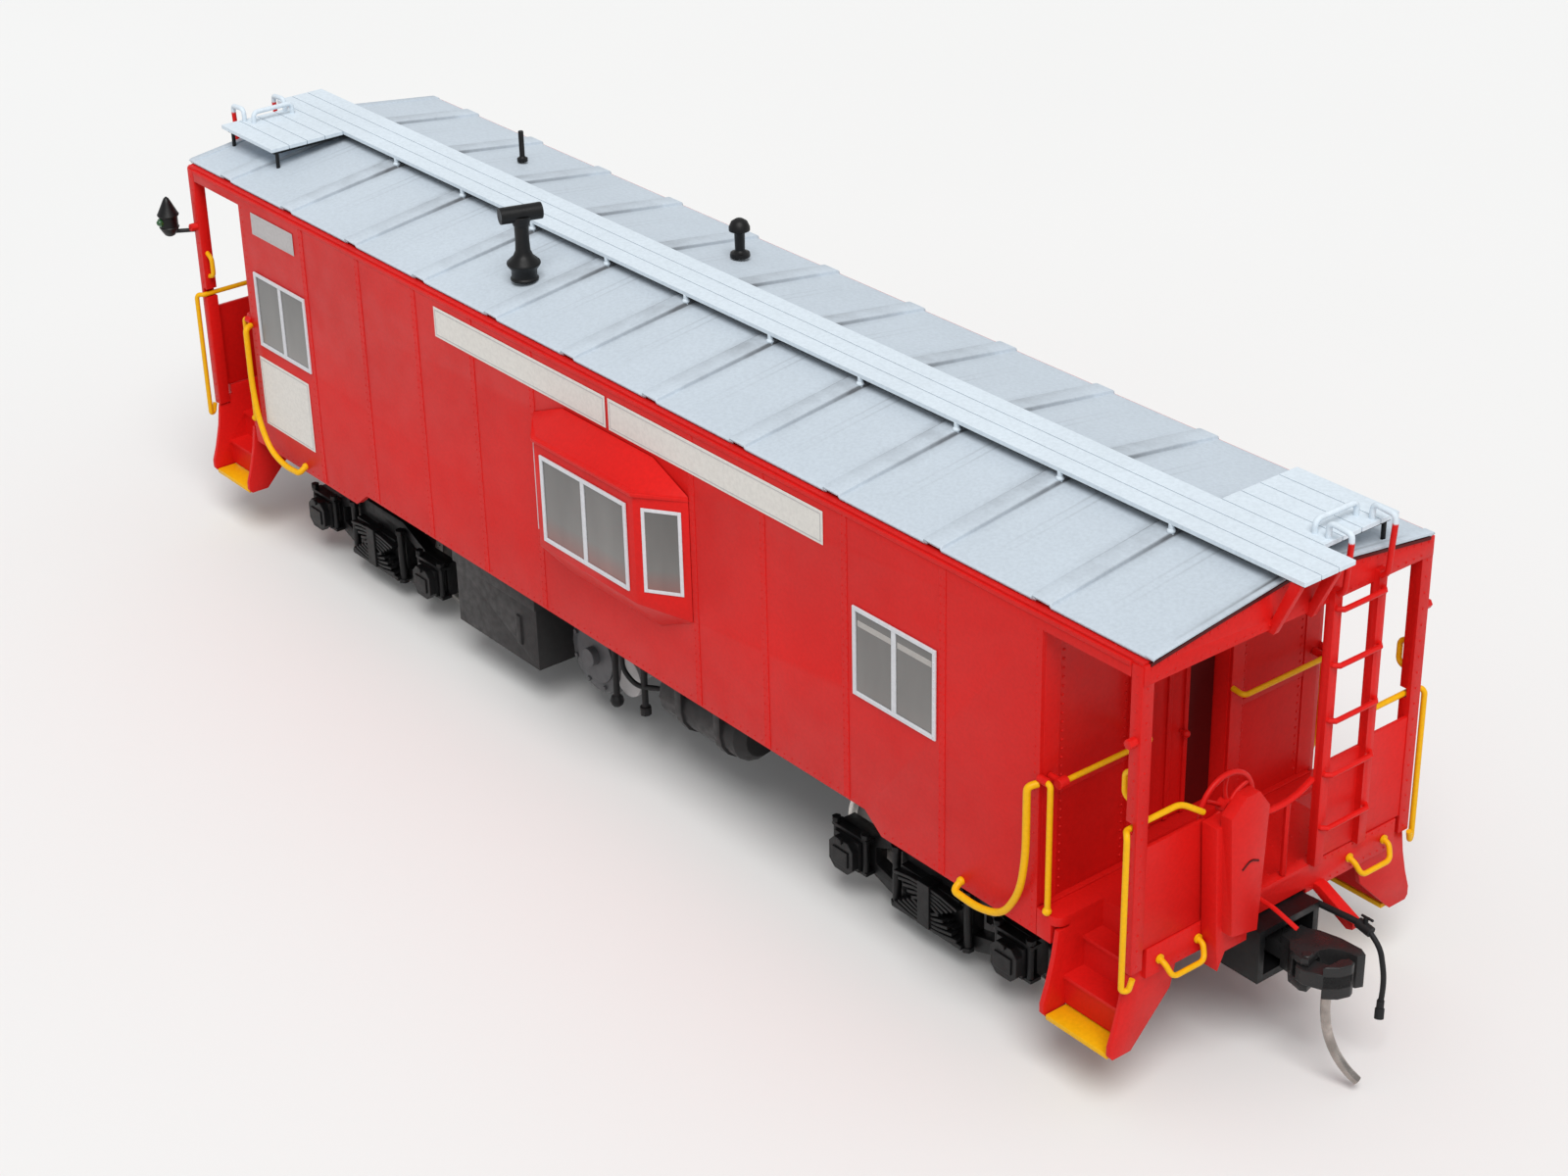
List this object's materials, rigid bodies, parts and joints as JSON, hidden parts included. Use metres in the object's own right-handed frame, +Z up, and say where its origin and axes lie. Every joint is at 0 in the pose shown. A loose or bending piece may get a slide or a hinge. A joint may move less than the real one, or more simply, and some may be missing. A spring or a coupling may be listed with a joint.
{
  "type": "model caboose",
  "caption": "Model railway caboose with side bays, end platforms, swivelling trucks, turning wheels and couplers that swing and open.",
  "frame": {"origin": "middle of the model in plan, at the bottom of the wheel flanges", "axes": "+X along the model towards the end called front, +Y to its left seen from the front truck, +Z up"},
  "size_m": [0.1738, 0.042, 0.0532],
  "materials": {
    "body_red": "satin paint",
    "window_silver": "satin paint",
    "glazing_clear": "clear moulded plastic",
    "roof_grey": "satin paint",
    "walk_grey": "flat paint",
    "fittings_black": "satin",
    "underframe_black": "satin",
    "weight_steel": "plain",
    "equipment_grey": "satin",
    "equipment_light": "satin paint",
    "hose_rubber": "flat",
    "safety_yellow_plastic": "satin paint",
    "safety_yellow": "satin paint",
    "truck_black": "satin",
    "wheel_steel": "blackened, bright treads",
    "coupler_black": "blackened"
  },
  "bodies": {
    "caboose": {"body_shell": "body_red", "bay_left": "body_red", "bay_frame_left": "window_silver", "glazing_left": "glazing_clear", "window_frame_near_left": "window_silver", "window_frame_far_left": "window_silver", "marker_lamp_left": "fittings_black", "bay_right": "body_red", "bay_frame_right": "window_silver", "glazing_right": "glazing_clear", "window_frame_near_right": "window_silver", "window_frame_far_right": "window_silver", "marker_lamp_right": "fittings_black", "roof": "roof_grey", "roof_walk": "walk_grey", "smoke_jack": "fittings_black", "roof_vent": "fittings_black", "vent_pipe": "fittings_black", "underframe": "underframe_black", "ballast_weight": "weight_steel", "fuel_box": "equipment_grey", "air_reservoir": "equipment_grey", "brake_cylinder": "equipment_light", "platform_front": "body_red", "end_frame_front": "body_red", "brake_stand_front": "body_red", "brake_wheel_front": "body_red", "air_hose_front": "hose_rubber", "step_tread_front_left": "safety_yellow_plastic", "corner_rail_front_left": "safety_yellow", "end_rail_front_left": "safety_yellow", "sill_grab_front_left": "safety_yellow", "step_tread_front_right": "safety_yellow_plastic", "corner_rail_front_right": "safety_yellow", "end_rail_front_right": "safety_yellow", "sill_grab_front_right": "safety_yellow", "platform_rear": "body_red", "end_frame_rear": "body_red", "brake_stand_rear": "body_red", "brake_wheel_rear": "body_red", "air_hose_rear": "hose_rubber", "step_tread_rear_left": "safety_yellow_plastic", "corner_rail_rear_left": "safety_yellow", "end_rail_rear_left": "safety_yellow", "sill_grab_rear_left": "safety_yellow", "step_tread_rear_right": "safety_yellow_plastic", "corner_rail_rear_right": "safety_yellow", "end_rail_rear_right": "safety_yellow", "sill_grab_rear_right": "safety_yellow"},
    "truck_front": {"truck_frame_front": "truck_black"},
    "truck_rear": {"truck_frame_rear": "truck_black"},
    "wheelset_front_front": {"wheelset_front_front": "wheel_steel"},
    "wheelset_front_rear": {"wheelset_front_rear": "wheel_steel"},
    "wheelset_rear_front": {"wheelset_rear_front": "wheel_steel"},
    "wheelset_rear_rear": {"wheelset_rear_rear": "wheel_steel"},
    "coupler_front": {"coupler_front": "coupler_black"},
    "knuckle_front": {"knuckle_front": "coupler_black"},
    "coupler_rear": {"coupler_rear": "coupler_black"},
    "knuckle_rear": {"knuckle_rear": "coupler_black"}
  },
  "joints": [
    {"name": "truck_swivel_front", "type": "hinge", "parent": "caboose", "child": "truck_front", "pos_m": [0.0474, 0, 0.0085], "axis": [0, 0, 1], "range_deg": [-12, 12]},
    {"name": "wheel_spin_front_front", "type": "hinge", "parent": "truck_front", "child": "wheelset_front_front", "pos_m": [0.0586, 0, 0.00545], "axis": [0, 1, 0], "continuous": true},
    {"name": "wheel_spin_front_rear", "type": "hinge", "parent": "truck_front", "child": "wheelset_front_rear", "pos_m": [0.0362, 0, 0.00545], "axis": [0, 1, 0], "continuous": true},
    {"name": "coupler_swing_front", "type": "hinge", "parent": "caboose", "child": "coupler_front", "pos_m": [0.071, 0, 0.0107], "axis": [0, 0, 1], "range_deg": [-10, 6], "stiffness_Nm_per_rad": 0.002},
    {"name": "knuckle_open_front", "type": "hinge", "parent": "coupler_front", "child": "knuckle_front", "pos_m": [0.08175, -0.0017, 0.0107], "axis": [0, 0, 1], "range_deg": [-35, 0], "stiffness_Nm_per_rad": 0.0001, "springref_deg": 11.46},
    {"name": "truck_swivel_rear", "type": "hinge", "parent": "caboose", "child": "truck_rear", "pos_m": [-0.0474, 0, 0.0085], "axis": [0, 0, 1], "range_deg": [-12, 12]},
    {"name": "wheel_spin_rear_front", "type": "hinge", "parent": "truck_rear", "child": "wheelset_rear_front", "pos_m": [-0.0362, 0, 0.00545], "axis": [0, 1, 0], "continuous": true},
    {"name": "wheel_spin_rear_rear", "type": "hinge", "parent": "truck_rear", "child": "wheelset_rear_rear", "pos_m": [-0.0586, 0, 0.00545], "axis": [0, 1, 0], "continuous": true},
    {"name": "coupler_swing_rear", "type": "hinge", "parent": "caboose", "child": "coupler_rear", "pos_m": [-0.071, 0, 0.0107], "axis": [0, 0, 1], "range_deg": [-10, 6], "stiffness_Nm_per_rad": 0.002},
    {"name": "knuckle_open_rear", "type": "hinge", "parent": "coupler_rear", "child": "knuckle_rear", "pos_m": [-0.08175, 0.0017, 0.0107], "axis": [0, 0, 1], "range_deg": [-35, 0], "stiffness_Nm_per_rad": 0.0001, "springref_deg": 11.46}
  ]
}
